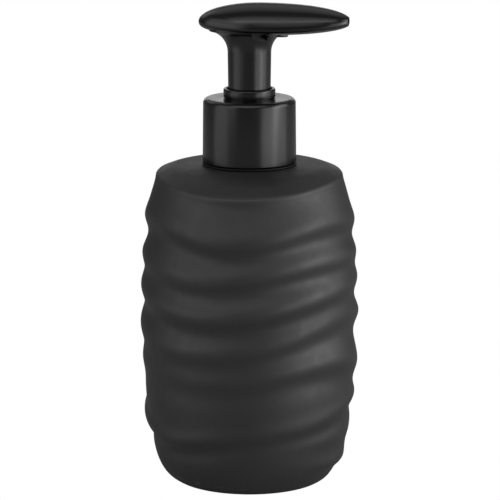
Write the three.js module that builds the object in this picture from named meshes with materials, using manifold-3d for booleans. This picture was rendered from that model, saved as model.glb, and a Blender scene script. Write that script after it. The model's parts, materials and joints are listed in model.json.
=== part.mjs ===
// Soap pump dispenser: a rippled ceramic bottle with a screw-on lotion pump.
// Millimetres, +Z up. The origin is the centre of the face that the dispenser stands on, and
// the spout points along +X. Azimuths are in degrees from the front (-Y) towards the spout.
import * as THREE from "three";
import { mergeVertices } from "three/addons/utils/BufferGeometryUtils.js";
import Module from "manifold-3d";

const wasm = await Module();
wasm.setup();

// ---------------------------------------------------------------- driving dimensions
const GAP = 0.3; // between pieces that touch, are glued or are pressed together
const RUN = 0.15; // radial running clearance of pieces that slide or turn in each other

// Bottle. Each ridge wanders up and down round the bottle by three slow waves: one, two and
// three crests a turn, each given as [height, azimuth of its crest]. Its own height is given as
// [mean, swing, azimuth where it's highest], over the smooth wall at its crest and under it in
// the groove below, and its reach is how far the crest and the groove lie from its steep side.
const LAND_Z = 115.2; // flat ring on the shoulder that carries the neck insert
const LAND_R = 17.4;
const FOOT_Z = 0.6; // the ceramic stands this far off, on its pad
const FOOT_R = 20.5;
const WALL_PROFILE = [[26, 2], [30.7, 6], [33.9, 14], [36.5, 30], [38.2, 55], [37.1, 85], [35.6, 100]];
const RIM_R = 33.1;
const RIM_ROUND = 2.6;
const RIM = { z: 112.25, tilt: [2.2, 185], sway: [0.8, 93], wave: [0.3, 60] };
// The rim stands this much proud in front, most at its level less the drop.
const BEAD = { height: 0.75, azimuth: 0, spread: 70, drop: 0.3, reach: 2.2 };
const SHOULDER = [[27.5, 114.2], [22, 114.9]]; // from the rim up to the land
const SHOULDER_EASE = 1.9; // how much more the rim's ups and downs tell near it than halfway
const RIDGES = [
  { z: 93.3, tilt: [1.1, 115], sway: [1.3, -45], wave: [2.8, 55], height: [1, 0, 0], reach: 3.8 },
  { z: 80.9, tilt: [2.2, 136], sway: [1.1, 85], wave: [1.2, 37], height: [1, 0.1, 112], reach: 3.9 },
  { z: 69.3, tilt: [2.7, 157], sway: [2.7, 77], wave: [0.2, 51], height: [1.3, 0.2, 68], reach: 4.4 },
  { z: 56.5, tilt: [1, 150], sway: [5.3, 63], wave: [1.3, -29], height: [1.05, 0.25, 90], reach: 4.6 },
  { z: 43.1, tilt: [0.8, -22], sway: [1.6, 44], wave: [1.6, 57], height: [0.5, 0.15, 60], reach: 3.8 },
  { z: 24.7, tilt: [2.8, 123], sway: [4, 74], wave: [2.3, -4], height: [1.1, 0.7, -148], reach: 2.7 },
];
const SHORT_RIDGES = [
  { z: 18.8, azimuth: 74, spread: 46, height: 0.2 },
  { z: 8.7, azimuth: 79, spread: 21, height: 0.9 },
];
const SHORT_REACH = 2.4;
const LEVEL_Z = 88; // the rim's ups and downs die out from the rim down to here
const RIDGE_FADE = 6; // over which the ridges run out under the rim
const PLAIN_FOOT_Z = 5; // and above the foot
const INNER_FLOOR_Z = 6.5;
const INNER_WALL = [[32.2, 30], [33.6, 55], [33, 85], [31.8, 99], [30, 104.5], [20, 109.3]];
const MOUTH_R = 12.2;
const MOUTH_BOTTOM_Z = 110.5;
const BOTTLE_FACETS = 60;
const WALL_STEPS = 44;
const PAD_R = 19.6;
const PAD_THICK = 1.5;

// Neck insert and its screw thread, 28 mm nominal, six turns to the inch, right-handed.
const NECK_BORE_R = 10.5;
const NECK_ROOT_R = 12.6;
const NECK_TOP_Z = 133;
const FLANGE_Z = [115.5, 116.1];
const FLANGE_R = 16.7;
const PLUG_BOTTOM_Z = 104;
const LEAD = 25.4 / 6;
const NECK_THREAD = { rootR: NECK_ROOT_R, crestR: 13.7, turns: 1, z: 126.5 };
const CAP_THREAD = { rootR: 14.4, crestR: 12.95, turns: 0.75, z: 124.9 };

// Closure, the smooth cap that clamps the pump on the neck.
const CAP_Z = [116.4, 139];
const CAP_R = [16.5, 16.3]; // at the bottom and at the top
const CAP_EDGE_R = 1.7;
const CAP_TOP_THICK = 2;
const CAP_HOLE_R = 8.8;

// Locking collar: the ring round the skirt, with the deep well that the skirt sinks into.
const RING_R = [9.15, 7.95];
const RING_Z = [139.3, 142.4];
const WELL_R = 8.6; // outside of the well's tube
const WELL_FLOOR_Z = [124.6, 126.4];
const GUIDE_R = 5;
const GUIDE_TOP_Z = 134;

// Pump chamber.
const CUP_R = [8.9, 9.9];
const CUP_FLOOR_Z = [122.4, 124];
const VENT = { r: 0.9, z: 128.4 }; // lets air in as the soap goes down
const CHAMBER_FLANGE_Z = [134.8, 136.5];
const CHAMBER_FLANGE_R = 12.4;
const BARREL_R = [6, 7];
const SHELF_Z = [84.4, 88]; // bottom of the barrel, which carries the spring
const BALL_WELL_R = 2.75;
const SEAT_Z = 80.6; // the ball seat's mouth
const SEAT_R = 1.6;
const SOCKET_R = [3.15, 4.3]; // socket for the dip tube
const SOCKET_Z = [64, 78];
const BALL_R = 2.3;
const BALL_Z = SEAT_Z + 2.5;
const BALL_LIFT = 2; // up to the three nibs that keep it in its well
const NIB_R = 1.7;
const NIB_Z = [BALL_Z + BALL_LIFT + Math.sqrt(BALL_R ** 2 - NIB_R ** 2) + 0.1, SHELF_Z[1] - 0.1];

// Plunger.
const STEM_R = [2, 3.5];
const STEM_Z = [117.5, 161.4];
const STEM_STOP = { r: 4.9, z: [122.6, 124] };
const ROD_SEAT = { r: 4.7, z: [111.2, 112.5] };
const ROD_R = 3.2; // inside the piston
const ROD_BORE_R = 1.1;
const SPIGOT_LENGTH = 5; // in the stem
const PILOT = { r: 2.9, length: 3 }; // in the spring
const PORT_R = 0.9;
const PISTON_Z = [112.8, 119.6];
const PISTON_LIP_R = 5.85;
const PISTON_WAIST_R = 4.7; // at the bottom of the groove behind each lip
const WIRE_R = 0.42;
const COIL_R = 4.15;
const SPRING_TURNS = 8.5;
const SPRING_Z = [SHELF_Z[1] + GAP, ROD_SEAT.z[0] - GAP];
const TUBE_R = [2.25, 3];
const TUBE_Z = [9.5, 77];

// Head: a long pebble over a round skirt that flares out under it.
const HEAD = { x: 4, z: 165.85, rear: 22, front: 32, up: 6.8, down: 4.25, wide: 11 };
const HEAD_SAG = 1.6; // its widest line hangs this much lower in the middle than at its ends
const HEAD_NOSE = 0.6; // and its nose lifts by this
const HEAD_CURVES = { rear: [1.9, 2.8], front: [2.2, 2.4] }; // exponents of its top and underside
const HEAD_END_X = 35; // the flat end of the spout
const HEAD_WALL = 1.7;
const HEAD_HOLE_R = 6.2;
const SKIRT_R = [7.45, 7.65]; // outside, at the bottom and at the flare
const SKIRT_WALL = 1.2;
const SKIRT_BOTTOM_Z = 140;
const FLARE_Z = 155.1;
const FLARE_FILLET = 7.6;
const FLARE_NARROW = 0.3; // how far it flares sideways, of how far to the front and rear
const TONGUE = { length: 13.6, half: 2.5, z: [160.9, 161.3] };
// A notch in front and one behind, for prising the cover off. Its slanted wall lies at y[0] and
// y[1] at its two ends, at the height z, and leans outwards below it.
const NOTCH = { x: [2.2, 7.2], y: [8.05, 4.3], z: 162.4, lean: 0.42, outside: 14 };
const BOSS_R = [STEM_R[1] + RUN, 5];
const BOSS_Z = [148, 163.2];
const OUTLET_Z = 166.9;
const CHANNEL = { r: [1.5, 2.2], z: OUTLET_Z, x: [-2.2, 23.6] };
const NOZZLE = { r: [0.75, 1.1], z: OUTLET_Z, x: [23.9, HEAD_END_X - 0.1] };

// ---------------------------------------------------------------- solids
const turnOf = (degrees) => (degrees * Math.PI) / 180;
const azimuthOf = (x, y) => Math.atan2(x, -y);

// A closed geometry as a manifold solid, faces out.
function solidOf(geometry) {
  const bare = geometry.index ? geometry.toNonIndexed() : geometry.clone();
  bare.deleteAttribute("normal");
  bare.deleteAttribute("uv");
  const merged = mergeVertices(bare, 1e-4);
  const corners = merged.index.array;
  const triVerts = [];
  for (let i = 0; i < corners.length; i += 3) {
    const [a, b, c] = corners.slice(i, i + 3);
    if (a !== b && b !== c && c !== a) triVerts.push(a, b, c);
  }
  const build = (list) =>
    new wasm.Manifold(
      new wasm.Mesh({
        numProp: 3,
        vertProperties: merged.attributes.position.array,
        triVerts: new Uint32Array(list),
      }),
    );
  const made = build(triVerts);
  return made.volume() < 0 ? build(triVerts.reverse()) : made;
}

function geometryOf(solid) {
  const mesh = solid.getMesh();
  const position = new THREE.BufferAttribute(mesh.vertProperties, 3);
  const geometry = new THREE.BufferGeometry().setAttribute("position", position);
  geometry.setIndex(new THREE.BufferAttribute(mesh.triVerts, 1));
  geometry.computeVertexNormals();
  return geometry;
}

// A profile of [radius, height] points turned about Z. It starts and ends on the axis, or closes.
function latheOf(profile, segments = 32) {
  const points = profile.map(([r, z]) => new THREE.Vector2(r, z));
  return new THREE.LatheGeometry(points, segments).rotateX(Math.PI / 2);
}

const turned = (profile, segments) => solidOf(latheOf(profile, segments));

const ring = (inner, outer, low, high, segments) =>
  turned([[inner, low], [outer, low], [outer, high], [inner, high], [inner, low]], segments);

const rod = (radius, low, high, segments) =>
  turned([[0, low], [radius, low], [radius, high], [0, high]], segments);

function block(x, y, z, turn = 0) {
  const size = [x, y, z].map(([low, high]) => high - low);
  const middle = [x, y, z].map(([low, high]) => (high + low) / 2);
  return solidOf(new THREE.BoxGeometry(...size).translate(...middle).rotateZ(turn));
}

// A rod along +X at the height z.
function rodX(radius, from, to, z, segments = 20) {
  const geometry = new THREE.CylinderGeometry(radius, radius, to - from, segments);
  return solidOf(geometry.rotateZ(Math.PI / 2).translate((from + to) / 2, 0, z));
}

// Points of a quarter round from the direction `from` to the direction `to`, in degrees.
function arc(r, z, radius, from, to, steps) {
  return Array.from({ length: steps + 1 }, (_, i) => {
    const a = turnOf(from + ((to - from) * i) / steps);
    return [r + radius * Math.cos(a), z + radius * Math.sin(a)];
  });
}

// A helix about Z whose section keeps facing outwards; `rise` gives the height at 0..1 of its
// length and `radius` the distance from the axis.
class Helix extends THREE.Curve {
  constructor(turns, radius, rise) {
    super();
    Object.assign(this, { turns, radius, rise });
  }
  getPoint(t) {
    const a = 2 * Math.PI * this.turns * t;
    const r = this.radius(t);
    return new THREE.Vector3(r * Math.cos(a), r * Math.sin(a), this.rise(t));
  }
  getPointAt(t) {
    return this.getPoint(t);
  }
  computeFrenetFrames(steps) {
    const frames = { tangents: [], normals: [], binormals: [] };
    for (let i = 0; i <= steps; i++) {
      const a = (2 * Math.PI * this.turns * i) / steps;
      frames.normals.push(new THREE.Vector3(Math.cos(a), Math.sin(a), 0));
      frames.tangents.push(new THREE.Vector3(-Math.sin(a), Math.cos(a), 0));
      frames.binormals.push(new THREE.Vector3(0, 0, 1));
    }
    return frames;
  }
}

// A screw thread of trapezoid section, which runs out into its wall at both ends.
function threadOf({ rootR, crestR, turns, z }) {
  const rootHalf = 1.05;
  const crestHalf = 0.5;
  const depth = crestR - rootR;
  const sunk = -Math.sign(depth) * 0.5; // the section's root lies inside the wall
  const section = new THREE.Shape([
    new THREE.Vector2(sunk, -rootHalf),
    new THREE.Vector2(depth, -crestHalf),
    new THREE.Vector2(depth, crestHalf),
    new THREE.Vector2(sunk, rootHalf),
  ]);
  const runOut = 0.12;
  const radius = (t) => {
    const end = Math.max(0, 1 - Math.min(t, 1 - t) / runOut);
    return rootR - depth * 0.8 * end * end;
  };
  const path = new Helix(turns, radius, (t) => z + LEAD * turns * t);
  const steps = Math.round(30 * turns);
  return solidOf(new THREE.ExtrudeGeometry(section, { steps, extrudePath: path }));
}

// ---------------------------------------------------------------- bottle
function heightAt(line, azimuth) {
  const waves = [line.tilt, line.sway, line.wave];
  return waves.reduce(
    (sum, [height, crest], i) => sum + height * Math.cos((i + 1) * (azimuth - turnOf(crest))),
    line.z,
  );
}

// 1 at the crest of a ridge, one reach above its steep side, and -1 at the groove below it.
function step(distance) {
  return distance * Math.exp((1 - distance * distance) / 2);
}

function rippleAt(azimuth, z) {
  let sum = 0;
  for (const line of RIDGES) {
    const [mean, swing, highest] = line.height;
    const height = mean + swing * Math.cos(azimuth - turnOf(highest));
    sum += height * step((z - heightAt(line, azimuth)) / line.reach);
  }
  for (const { z: middle, azimuth: crest, spread, height } of SHORT_RIDGES) {
    const off = Math.atan2(Math.sin(azimuth - turnOf(crest)), Math.cos(azimuth - turnOf(crest)));
    const fade = Math.exp(-((off / turnOf(spread)) ** 2));
    sum += height * fade * step((z - middle) / SHORT_REACH);
  }
  return sum;
}

// The smooth outline: foot, wall, rim and shoulder, with the rim at its mean height.
function bottleOutline() {
  const wallPoints = [[FOOT_R, FOOT_Z], ...WALL_PROFILE, [RIM_R, RIM.z + 0.2 - RIM_ROUND]];
  const wall = new THREE.SplineCurve(wallPoints.map(([r, z]) => new THREE.Vector2(r, z)));
  const outline = wall.getPoints(WALL_STEPS).map(({ x, y }) => [x, y]);
  const rim = arc(RIM_R - RIM_ROUND, RIM.z + 0.3 - RIM_ROUND, RIM_ROUND, 25, 65, 3);
  return [[0, FOOT_Z], ...outline, ...rim, ...SHOULDER, [LAND_R, LAND_Z], [0, LAND_Z]];
}

// How far the rim's bead stands out, `above` millimetres over the rim.
function beadAt(azimuth, r, above) {
  const off = azimuth - THREE.MathUtils.degToRad(BEAD.azimuth);
  const around = Math.atan2(Math.sin(off), Math.cos(off)) / THREE.MathUtils.degToRad(BEAD.spread);
  const away = (above + BEAD.drop) / BEAD.reach;
  const near = THREE.MathUtils.smoothstep(r, LAND_R, RIM_R - 1);
  return BEAD.height * near * Math.exp(-(around ** 2) - away ** 2);
}

// Waves the rim up and down and lays the ridges and the bead on the wall.
function shapeBottle(geometry) {
  const position = geometry.attributes.position;
  for (let i = 0; i < position.count; i++) {
    const [x, y, z] = [position.getX(i), position.getY(i), position.getZ(i)];
    const r = Math.hypot(x, y);
    if (r < FOOT_R + 0.1 && z < LAND_Z - 1) continue;
    const azimuth = azimuthOf(x, y);
    const lift = heightAt(RIM, azimuth) - RIM.z;
    const onShoulder = THREE.MathUtils.clamp((r - LAND_R) / (RIM_R - LAND_R - 1), 0, 1);
    const onWall = THREE.MathUtils.smoothstep(z, LEVEL_Z, RIM.z - 1.5);
    const height = z + lift * (z > RIM.z - 1 ? onShoulder ** SHOULDER_EASE : onWall);
    const fade =
      THREE.MathUtils.clamp((RIM.z + lift - 1 - height) / RIDGE_FADE, 0, 1) *
      THREE.MathUtils.smoothstep(height, FOOT_Z, PLAIN_FOOT_Z);
    const bead = beadAt(azimuth, r, height - RIM.z - lift);
    const grown = r < 1 ? r : r + fade * rippleAt(azimuth, height) + bead;
    position.setXYZ(i, grown * Math.sin(azimuth), -grown * Math.cos(azimuth), height);
  }
  return geometry;
}

function bottleBody() {
  const outside = solidOf(shapeBottle(latheOf(bottleOutline(), BOTTLE_FACETS)));
  const floorRound = 10;
  const floorR = 20;
  const cavity = turned([
    [0, INNER_FLOOR_Z],
    [floorR, INNER_FLOOR_Z],
    ...arc(floorR, INNER_FLOOR_Z + floorRound, floorRound, -72, -12, 4),
    ...INNER_WALL,
    [MOUTH_R, MOUTH_BOTTOM_Z],
    [MOUTH_R, LAND_Z + 1],
    [0, LAND_Z + 1],
  ]);
  const padRecess = rod(PAD_R + GAP, -1, PAD_THICK + GAP);
  return outside.subtract(cavity).subtract(padRecess);
}

const basePad = () =>
  turned([[0, 0], [PAD_R - 0.4, 0], [PAD_R, 0.4], [PAD_R, PAD_THICK], [0, PAD_THICK]]);

function neckInsert() {
  const body = turned([
    [NECK_BORE_R, PLUG_BOTTOM_Z],
    [MOUTH_R - GAP, PLUG_BOTTOM_Z],
    [MOUTH_R - GAP, FLANGE_Z[0]],
    [FLANGE_R, FLANGE_Z[0]],
    [FLANGE_R, FLANGE_Z[1]],
    [NECK_ROOT_R, FLANGE_Z[1]],
    [NECK_ROOT_R, NECK_TOP_Z - 0.5],
    [NECK_ROOT_R - 0.5, NECK_TOP_Z],
    [NECK_BORE_R + 0.4, NECK_TOP_Z],
    [NECK_BORE_R, NECK_TOP_Z - 0.4],
    [NECK_BORE_R, PLUG_BOTTOM_Z],
  ]);
  return body.add(threadOf(NECK_THREAD));
}

// ---------------------------------------------------------------- closure
function closure() {
  const [bottom, top] = CAP_Z;
  const underside = top - CAP_TOP_THICK;
  const body = turned(
    [
      [CAP_HOLE_R, underside],
      [CAP_THREAD.rootR, underside],
      [CAP_THREAD.rootR, bottom + 1],
      [CAP_THREAD.rootR + 0.6, bottom],
      [CAP_R[0] - 0.3, bottom],
      [CAP_R[0], bottom + 0.3],
      ...arc(CAP_R[1] - CAP_EDGE_R, top - CAP_EDGE_R, CAP_EDGE_R, 0, 90, 4),
      [CAP_HOLE_R + 0.3, top],
      [CAP_HOLE_R, top - 0.3],
      [CAP_HOLE_R, underside],
    ],
    44,
  );
  return body.add(threadOf(CAP_THREAD));
}

const closureGasket = () =>
  ring(CUP_R[1] + GAP, NECK_ROOT_R - 0.1, NECK_TOP_Z + GAP, CHAMBER_FLANGE_Z[0] - GAP);

// ---------------------------------------------------------------- pump chamber
function pumpChamber() {
  const [barrelIn, barrelOut] = BARREL_R;
  const body = turned([
    [CUP_R[0], CHAMBER_FLANGE_Z[1]],
    [CUP_R[0], CUP_FLOOR_Z[1]],
    [barrelIn, CUP_FLOOR_Z[1]],
    [barrelIn, SHELF_Z[1]],
    [BALL_WELL_R, SHELF_Z[1]],
    [BALL_WELL_R, SEAT_Z + 1.5],
    [SEAT_R, SEAT_Z],
    [SEAT_R, SOCKET_Z[1]],
    [SOCKET_R[0], SOCKET_Z[1]],
    [SOCKET_R[0], SOCKET_Z[0]],
    [SOCKET_R[1], SOCKET_Z[0]],
    [SOCKET_R[1], SHELF_Z[0] - 2],
    [barrelOut, SHELF_Z[0]],
    [barrelOut, CUP_FLOOR_Z[0]],
    [CUP_R[1], CUP_FLOOR_Z[0]],
    [CUP_R[1], CHAMBER_FLANGE_Z[0]],
    [CHAMBER_FLANGE_R, CHAMBER_FLANGE_Z[0]],
    [CHAMBER_FLANGE_R, CHAMBER_FLANGE_Z[1]],
    [CUP_R[0], CHAMBER_FLANGE_Z[1]],
  ]);
  const ventHole = rodX(VENT.r, 0, CUP_R[1] + 1, VENT.z, 12);
  return [0, 1, 2].reduce((chamber, i) => {
    const nib = block([NIB_R, BALL_WELL_R + 0.6], [-0.5, 0.5], NIB_Z, turnOf(120 * i));
    return chamber.add(nib);
  }, body.subtract(ventHole));
}

// The ball lies in the cone of its seat, clear of it by a hair.
const inletBall = () => solidOf(new THREE.SphereGeometry(BALL_R, 14, 10).translate(0, 0, BALL_Z));

function dipTube() {
  const tube = ring(TUBE_R[0], TUBE_R[1], TUBE_Z[0], TUBE_Z[1], 28);
  const notch = new THREE.CylinderGeometry(2.4, 2.4, 8, 4).rotateX(Math.PI / 2);
  return tube.subtract(solidOf(notch.rotateZ(Math.PI / 2).translate(0, 0, TUBE_Z[0] - 0.6)));
}

function lockingCollar() {
  const [ringOut, ringIn] = RING_R;
  return turned([
    [BOSS_R[0], WELL_FLOOR_Z[0]],
    [WELL_R, WELL_FLOOR_Z[0]],
    [WELL_R, RING_Z[0]],
    [ringOut, RING_Z[0]],
    [ringOut, RING_Z[1] - 0.5],
    [ringOut - 0.4, RING_Z[1]],
    [ringIn + 0.5, RING_Z[1]],
    [ringIn, RING_Z[1] - 0.7],
    [ringIn, WELL_FLOOR_Z[1]],
    [GUIDE_R, WELL_FLOOR_Z[1]],
    [GUIDE_R, GUIDE_TOP_Z],
    [BOSS_R[0], GUIDE_TOP_Z],
    [BOSS_R[0], WELL_FLOOR_Z[0]],
  ]);
}

// ---------------------------------------------------------------- plunger
function plungerStem() {
  const [bore, outside] = STEM_R;
  return turned(
    [
      [bore, STEM_Z[0]],
      [outside, STEM_Z[0]],
      [outside, STEM_STOP.z[0]],
      [STEM_STOP.r, STEM_STOP.z[0]],
      [STEM_STOP.r, STEM_STOP.z[1]],
      [outside, STEM_STOP.z[1]],
      [outside, STEM_Z[1]],
      [bore, STEM_Z[1]],
      [bore, STEM_Z[0]],
    ],
    24,
  );
}

// The lower rod: a spigot in the stem, a ported tube inside the piston, the seat that the piston
// closes on, and a pilot for the spring.
function pistonRod() {
  const shoulder = STEM_Z[0] - GAP;
  const tip = ROD_SEAT.z[0] - PILOT.length;
  const boreEnd = ROD_SEAT.z[1] + 0.8;
  const body = turned(
    [
      [0, tip],
      [PILOT.r - 0.5, tip],
      [PILOT.r, tip + 1],
      [PILOT.r, ROD_SEAT.z[0]],
      [ROD_SEAT.r, ROD_SEAT.z[0]],
      [ROD_SEAT.r, ROD_SEAT.z[1]],
      [ROD_R, ROD_SEAT.z[1]],
      [ROD_R, shoulder],
      [STEM_R[0] - RUN, shoulder],
      [STEM_R[0] - RUN, shoulder + SPIGOT_LENGTH],
      [ROD_BORE_R, shoulder + SPIGOT_LENGTH],
      [ROD_BORE_R, boreEnd],
      [0, boreEnd],
    ],
    24,
  );
  return body.subtract(rodX(PORT_R, -ROD_R - 1, ROD_R + 1, ROD_SEAT.z[1] + 2, 16));
}

function piston() {
  const [low, high] = PISTON_Z;
  const bore = STEM_R[1] + RUN;
  const lip = 0.25; // its thickness at the edge
  const groove = 1.2; // its depth behind the lip
  const body = PISTON_WAIST_R + 0.3;
  return turned(
    [
      [bore, low],
      [PISTON_WAIST_R - 0.4, low],
      [PISTON_WAIST_R, low + groove],
      [PISTON_LIP_R - lip, low],
      [PISTON_LIP_R, low],
      [PISTON_LIP_R, low + 0.6],
      [body, low + 2.6],
      [body, high - 2.6],
      [PISTON_LIP_R, high - 0.6],
      [PISTON_LIP_R, high],
      [PISTON_LIP_R - lip, high],
      [PISTON_WAIST_R, high - groove],
      [PISTON_WAIST_R - 0.4, high],
      [bore, high],
      [bore, low],
    ],
    28,
  );
}

// A wound wire whose end coils lie close and whose middle coils are spread evenly.
function returnSpring() {
  const [low, high] = [SPRING_Z[0] + WIRE_R, SPRING_Z[1] - WIRE_R];
  const closed = 1.15; // turns laid close at each end
  const pitch = 2.3 * WIRE_R;
  const open = (high - low - 2 * closed * pitch) / (SPRING_TURNS - 2 * closed);
  const rise = (t) => {
    const turn = t * SPRING_TURNS;
    const spread = THREE.MathUtils.clamp(turn - closed, 0, SPRING_TURNS - 2 * closed);
    return low + pitch * (turn - spread) + open * spread;
  };
  const section = new THREE.Shape();
  section.absarc(0, 0, WIRE_R, 0, 2 * Math.PI);
  const path = new Helix(SPRING_TURNS, () => COIL_R, rise);
  const steps = Math.round(SPRING_TURNS * 12);
  return solidOf(new THREE.ExtrudeGeometry(section, { steps, extrudePath: path, curveSegments: 3 }));
}

// ---------------------------------------------------------------- head
// The pebble, made of a ball stretched more to the front than to the rear. It tapers evenly above
// its middle plane, and is fuller and flatter below. `grow` moves its whole surface outwards.
function pebble(grow, longer = 0) {
  const geometry = new THREE.SphereGeometry(1, 24, 18).rotateZ(-Math.PI / 2);
  const position = geometry.attributes.position;
  for (let i = 0; i < position.count; i++) {
    const [u, v, w] = [position.getX(i), position.getY(i), position.getZ(i)];
    const round = Math.hypot(v, w) || 1;
    const along = Math.min(1, Math.abs(u));
    const length = (u < 0 ? HEAD.rear : HEAD.front + longer) + grow;
    const [top, underside] = u < 0 ? HEAD_CURVES.rear : HEAD_CURVES.front;
    const taper = Math.sqrt(1 - along ** top);
    const sag = HEAD_SAG * (1 - along ** 2);
    const above = (HEAD.up + grow) * taper + sag;
    const below = (HEAD.down + grow) * (1 - along ** underside) ** (1 / underside) - sag;
    const middle = HEAD.z - sag + (u > 0 ? HEAD_NOSE * u * u : 0);
    position.setX(i, HEAD.x + length * u);
    position.setY(i, ((HEAD.wide + grow) * taper * v) / round);
    position.setZ(i, middle + ((w > 0 ? above : below) * w) / round);
  }
  return solidOf(geometry);
}

function headCover() {
  const outlet = rodX(NOZZLE.r[1] + GAP, NOZZLE.x[0] - 3, HEAD_END_X + 1, NOZZLE.z);
  return pebble(0)
    .subtract(pebble(-HEAD_WALL, -4))
    .subtract(rod(HEAD_HOLE_R, HEAD.z - 8, HEAD.z - 2))
    .subtract(outlet)
    .subtract(block([HEAD_END_X, HEAD_END_X + 5], [-9, 9], [HEAD.z - 9, HEAD.z + 9]));
}

// Draws the flare in at the sides, so that it stays under the cover.
function narrowFlare(geometry) {
  const position = geometry.attributes.position;
  for (let i = 0; i < position.count; i++) {
    const [x, y] = [position.getX(i), position.getY(i)];
    const r = Math.hypot(x, y);
    if (r <= SKIRT_R[1]) continue;
    const spread = FLARE_NARROW + (1 - FLARE_NARROW) * (x / r) ** 2;
    const scale = (SKIRT_R[1] + (r - SKIRT_R[1]) * spread) / r;
    position.setXY(i, x * scale, y * scale);
  }
}

// The space of the notch in front (side -1) or behind (side 1).
function notch(side) {
  const { x, y, z, lean, outside } = NOTCH;
  const corners = [z - 4, z + 1].flatMap((level) => {
    const out = lean * (z - level);
    return [0, 1].flatMap((end) => [
      [x[end], side * (y[end] + out), level],
      [x[end], side * outside, level],
    ]);
  });
  return wasm.Manifold.hull(corners);
}

// Skirt, flare and tongue, cut to the underside of the cover, with the boss that holds the stem.
function headBase() {
  const inside = SKIRT_R[1] - SKIRT_WALL;
  const shell = latheOf(
    [
      [inside, SKIRT_BOTTOM_Z],
      [SKIRT_R[0] - 0.3, SKIRT_BOTTOM_Z],
      [SKIRT_R[0], SKIRT_BOTTOM_Z + 0.4],
      ...arc(SKIRT_R[1] + FLARE_FILLET, FLARE_Z, FLARE_FILLET, 180, 98, 6),
      [SKIRT_R[1] + FLARE_FILLET - 1, FLARE_Z + FLARE_FILLET + 1],
      [BOSS_R[0], FLARE_Z + FLARE_FILLET + 1],
      [BOSS_R[0], BOSS_Z[0]],
      [BOSS_R[1], BOSS_Z[0]],
      [BOSS_R[1], TONGUE.z[0] - 2],
      [inside, TONGUE.z[0] - 2],
      [inside, SKIRT_BOTTOM_Z],
    ],
    32,
  );
  narrowFlare(shell);
  const tongue = block([SKIRT_R[1] + 1, TONGUE.length], [-TONGUE.half, TONGUE.half], TONGUE.z);
  const boss = rod(BOSS_R[1], TONGUE.z[0] - 1, BOSS_Z[1]);
  const stemBore = rod(BOSS_R[0], BOSS_Z[0] - 1, STEM_Z[1] + GAP);
  const inlet = rod(CHANNEL.r[1] + GAP, BOSS_Z[0], BOSS_Z[1] + 1);
  return solidOf(shell)
    .add(tongue)
    .subtract(pebble(GAP))
    .subtract(notch(-1))
    .subtract(notch(1))
    .add(boss)
    .subtract(stemBore)
    .subtract(inlet);
}

function spoutChannel() {
  const [bore, outside] = CHANNEL.r;
  const foot = BOSS_Z[1] - 1.2;
  const outer = rodX(outside, CHANNEL.x[0], CHANNEL.x[1], CHANNEL.z).add(
    rod(outside, foot, CHANNEL.z, 28),
  );
  const inner = rodX(bore, -bore, CHANNEL.x[1] + 1, CHANNEL.z).add(rod(bore, foot - 1, CHANNEL.z, 28));
  return outer.subtract(inner);
}

function nozzleInsert() {
  const [bore, outside] = NOZZLE.r;
  const [from, to] = NOZZLE.x;
  return rodX(outside, from, to, NOZZLE.z).subtract(rodX(bore, from - 1, to + 1, NOZZLE.z));
}

// ---------------------------------------------------------------- materials and assembly
const finish = (color, roughness, metalness = 0) => ({ color, roughness, metalness });
const FINISHES = {
  ceramic: finish(0x35363a, 0.62),
  satinBlack: finish(0x232326, 0.38),
  clearWhite: finish(0xdfe2e0, 0.45),
  white: finish(0xf0f0ec, 0.5),
  rubber: finish(0x18181a, 0.9),
  steel: finish(0xb9bcc0, 0.28, 1),
};

const PIECES = [
  ["bottle_body", bottleBody, "ceramic"],
  ["base_pad", basePad, "rubber"],
  ["neck_insert", neckInsert, "satinBlack"],
  ["closure", closure, "satinBlack"],
  ["closure_gasket", closureGasket, "white"],
  ["pump_chamber", pumpChamber, "clearWhite"],
  ["locking_collar", lockingCollar, "satinBlack"],
  ["inlet_ball", inletBall, "steel"],
  ["dip_tube", dipTube, "clearWhite"],
  ["return_spring", returnSpring, "steel"],
  ["plunger_stem", plungerStem, "clearWhite"],
  ["piston_rod", pistonRod, "white"],
  ["piston", piston, "white"],
  ["head_base", headBase, "satinBlack"],
  ["head_cover", headCover, "satinBlack"],
  ["spout_channel", spoutChannel, "clearWhite"],
  ["nozzle_insert", nozzleInsert, "satinBlack"],
];

const dispenser = new THREE.Group();
for (const [name, make, look] of PIECES) {
  const material = new THREE.MeshStandardMaterial(FINISHES[look]);
  const mesh = new THREE.Mesh(geometryOf(make()), material);
  mesh.name = name;
  dispenser.add(mesh);
}

export default dispenser;
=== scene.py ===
"""Soap pump dispenser: the looks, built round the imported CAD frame.

Lengths are in metres; MM turns millimetres into metres. Azimuths are in degrees from the front
(-Y) towards the spout (+X), as in the part itself.
"""

import json
import math

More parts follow.
